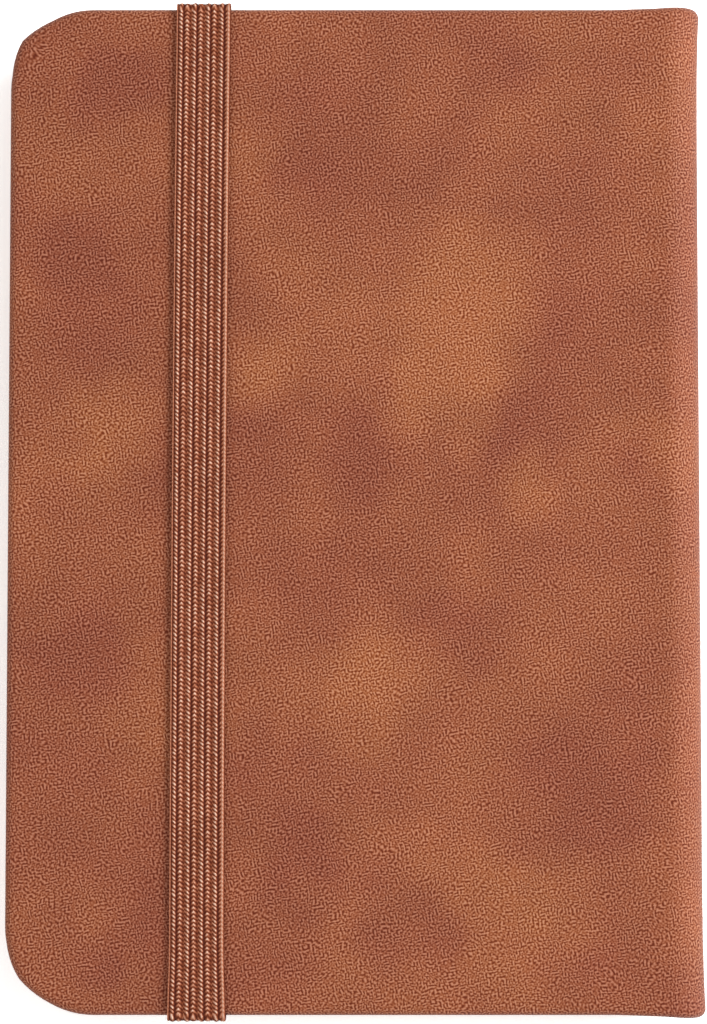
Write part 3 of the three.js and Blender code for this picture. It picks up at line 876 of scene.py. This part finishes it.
def page_material():
    shade = Shader("page_paper", roughness=0.85)
    normal = shade.add("ShaderNodeTexCoord").outputs["Normal"]
    up = shade.math("ABSOLUTE", shade.split(normal)["Z"])
    flat = shade.ramp(up, (0.6, 0.0), (0.7, 1.0))
    height = shade.split(shade.place)["Y"]
    row = shade.math("FRACT", shade.math("DIVIDE", height, RULE_PITCH))
    from_line = shade.math("ABSOLUTE", shade.math("SUBTRACT", row, 0.5))
    half_line = RULE_WIDTH / RULE_PITCH / 2
    line = shade.ramp(from_line, (0.0, 1.0), (half_line, 1.0), (half_line * 1.4, 0.0))
    page_height = 2 * page_half_height
    share = shade.math("MULTIPLY_ADD", height, 1 / page_height, 0.5)
    foot, head = FOOT_MARGIN / page_height, 1 - HEAD_MARGIN / page_height
    ruled = shade.ramp(
        share, (foot - MARGIN_BLUR, 0.0), (foot, 1.0), (head, 1.0), (head + MARGIN_BLUR, 0.0))
    shown = shade.math("MULTIPLY", shade.math("MULTIPLY", line, ruled), flat)
    fibres = shade.noise(FIBRE_SCALE, detail=3.0, rough=0.6)
    paper = shade.mix(
        "MULTIPLY", 1.0, srgb(245, 234, 207), shade.ramp(fibres, (0.3, 0.95), (0.7, 1.0)))
    colour = shade.mix("MIX", shown, paper, srgb(178, 168, 154))
    # Streaks on the page edges; their darker lines are painted shade in the gaps between the sheets,
    # and the same noise gives the bumps.
    sheets = shade.noise(1, place=shade.vector("MULTIPLY", shade.place, SHEET_STREAKS))
    edge = shade.mix("MIX", flat, shade.ramp(sheets, (0.35, 0.88), (0.6, 1.0)), (1.0, 1.0, 1.0))
    colour = shade.mix("MULTIPLY", 1.0, colour, edge)
    return shade.finish(colour, shade.bump(sheets, 0.03 * MM, strength=0.5))


def endpaper_material():
    shade = Shader("endpaper", roughness=0.85)
    fibres = shade.noise(FIBRE_SCALE, detail=3.0, rough=0.6)
    colour = shade.mix(
        "MULTIPLY", 1.0, srgb(232, 222, 196), shade.ramp(fibres, (0.3, 0.9), (0.7, 1.0)))
    blotches = shade.ramp(shade.noise(BLOTCH_SCALE), (0.3, 0.97), (0.7, 1.0))
    colour = shade.mix("MULTIPLY", 1.0, colour, blotches)
    return shade.finish(colour, shade.bump(fibres, 0.02 * MM, strength=0.4))


page_paper = page_material()
endpaper = endpaper_material()

# %% Board, card, muslin and thread materials
SPECK_SCALE = 700
MUSLIN_PITCH = 0.7 * MM
THREAD_TWIST = 0.5 * MM


def speckled_material(name, base, dark):
    shade = Shader(name, roughness=0.9)
    specks = shade.noise(SPECK_SCALE, detail=4.0, rough=0.7)
    colour = shade.ramp(specks, (0.3, dark), (0.55, base))
    return shade.finish(colour, shade.bump(specks, 0.05 * MM, strength=0.5))


def muslin_material():
    shade = Shader("muslin", roughness=0.95)
    place = shade.split(shade.place)
    warp, weft = (shade.math("SINE", shade.math("MULTIPLY", place[axis], 2 * math.pi / MUSLIN_PITCH))
                  for axis in "YZ")
    weave = shade.math("MAXIMUM", warp, weft)
    colour = shade.ramp(weave, (0.0, srgb(168, 158, 132)), (0.8, srgb(226, 219, 200)))
    return shade.finish(colour, shade.bump(weave, 0.08 * MM))


def thread_material():
    shade = Shader("waxed_thread", roughness=0.5)
    place = shade.split(shade.place)
    slant = shade.math("ADD", place["Y"], place["X"])
    twist = shade.math("SINE", shade.math("MULTIPLY", slant, 2 * math.pi / THREAD_TWIST))
    colour = shade.ramp(twist, (0.0, srgb(205, 196, 170)), (0.7, srgb(240, 234, 216)))
    return shade.finish(colour, shade.bump(twist, 0.05 * MM))


grey_board = speckled_material("grey_board", srgb(143, 138, 128), srgb(104, 99, 92))
spine_card_finish = speckled_material("spine_card_finish", srgb(183, 169, 140), srgb(150, 136, 108))
muslin = muslin_material()
thread = thread_material()

# %% Give every solid piece its material
finish_of_slot = {
    "cover_leather": leather, "cover_board": grey_board, "endpaper": endpaper,
    "page_paper": page_paper, "spine_card": spine_card_finish, "spine_muslin": muslin,
    "linen_thread": thread, "elastic_strap": elastic,
}
for part in frame["record"]["subparts"]:
    solid = frame["nodes"][part["node"]]
    solid.data.materials.clear()
    solid.data.materials.append(finish_of_slot[part["material_slot"]])
finished = [(back_leather, leather), (front_leather, leather), (strap, elastic)]
for piece, material in finished + [(made[0], muslin) for made in muslin_strips]:
    piece.data.materials.clear()
    piece.data.materials.append(material)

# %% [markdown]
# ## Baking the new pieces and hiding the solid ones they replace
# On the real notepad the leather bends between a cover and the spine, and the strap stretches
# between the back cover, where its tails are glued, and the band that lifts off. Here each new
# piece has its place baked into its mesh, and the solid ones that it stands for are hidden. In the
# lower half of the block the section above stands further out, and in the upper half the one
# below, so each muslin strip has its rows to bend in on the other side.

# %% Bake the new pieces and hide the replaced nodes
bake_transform(back_leather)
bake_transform(front_leather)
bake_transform(strap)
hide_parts("back_cover_leather", "back_hinge_leather", "spine_leather")
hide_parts("front_cover_leather", "front_hinge_leather")
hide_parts("elastic_band", "band_wrap_head", "band_wrap_tail",
            "band_anchor_head", "band_anchor_tail")

for strip, lower, upper, bend_low, bend_high in muslin_strips:
    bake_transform(strip)
    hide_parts("spine_lining")

# %% [markdown]
# ## Floor, light and camera
# A pale floor under the notepad, a broad soft lamp from the right, which throws the strap's thin
# shadow to the left, and a low one beside it, which catches the roll of the spine. A weak lamp
# from the left and a white world fill the rest. The photograph's background is pure white. The
# camera therefore sees the floor brighter than the light that it throws back on the notepad, and
# more so further away.

# %% Floor
FLOOR_SEEN = 1.75
FLOOR_SEEN_PER_METRE = 3.0
FLOOR_LEVEL = -0.1 * MM
FLOOR_SIZE = 3
start_fresh()
bpy.ops.mesh.primitive_plane_add(size=FLOOR_SIZE, location=(0, 0, FLOOR_LEVEL))
floor = settle(bpy.context.object, "floor")
floor_shade = Shader("pale_floor", roughness=0.9, Specular_IOR_Level=0.0)
seen = floor_shade.add("ShaderNodeLightPath").outputs["Is Camera Ray"]
away = floor_shade.vector("DISTANCE", floor_shade.place, (0, 0, 0))
shown_white = floor_shade.math("MULTIPLY_ADD", away, FLOOR_SEEN_PER_METRE, FLOOR_SEEN)
floor_tint = floor_shade.mix("MIX", seen, (0.8, 0.8, 0.8), shown_white)
floor.data.materials.append(floor_shade.finish(floor_tint))

# %% World and lamps
SKY_LIGHT = 0.43
scene = bpy.context.scene
world = scene.world or bpy.data.worlds.new("World")
scene.world = world
world.use_nodes = True
sky = world.node_tree.nodes["Background"]
sky.inputs["Color"].default_value = (1, 1, 1, 1)
strength = SKY_LIGHT
rays = world.node_tree.nodes.new("ShaderNodeLightPath").outputs
for kind in ("Is Camera Ray", "Is Glossy Ray", "Is Transmission Ray"):
    strength = math_node(world.node_tree, "MAXIMUM", strength, rays[kind])
feed(world.node_tree, sky.inputs["Strength"], strength)


def soft_lamp(name, place, size, power):
    """A square lamp that looks at the notepad; its place and size are in metres, its power in watts."""
    start_fresh()
    bpy.ops.object.light_add(type="AREA", location=place)
    lamp = bpy.context.object
    lamp.name = name
    lamp.data.size = size
    lamp.data.energy = power
    lamp.rotation_euler = (Vector((0, 0, 0)) - Vector(place)).to_track_quat("-Z", "Y").to_euler()


soft_lamp("key_lamp", (0.54, 0.16, 0.44), size=0.34, power=3.75)
soft_lamp("side_lamp", (0.60, 0.0, 0.16), size=0.30, power=0.95)
soft_lamp("fill_lamp", (-0.45, -0.2, 0.45), size=0.5, power=0.9)
scene.view_settings.view_transform = "Standard"

# %% [markdown]
# The photograph looks straight down, tipped a few degrees so that the tail end is a little nearer
# and wider. The lens follows from the distance and from how much of the height fills the frame.

# %% Camera
CAMERA_DISTANCE = 300 * MM
CAMERA_TILT = math.radians(3.0)
VIEW_HEIGHT = 123.75 * MM
SENSOR_WIDTH = 36
LOOK_AT = Vector((-0.26 * MM, -0.62 * MM, book_top))
camera_data = bpy.data.cameras.new("camera")
camera = bpy.data.objects.new("camera", camera_data)
scene.collection.objects.link(camera)
camera_data.sensor_width = SENSOR_WIDTH
camera_data.lens = SENSOR_WIDTH * CAMERA_DISTANCE / VIEW_HEIGHT
camera.location = LOOK_AT + CAMERA_DISTANCE * Vector(
    (0, -math.sin(CAMERA_TILT), math.cos(CAMERA_TILT)))
camera.rotation_euler = (CAMERA_TILT, 0, 0)
camera_data.clip_start = 10 * MM
camera_data.clip_end = 10
scene.camera = camera
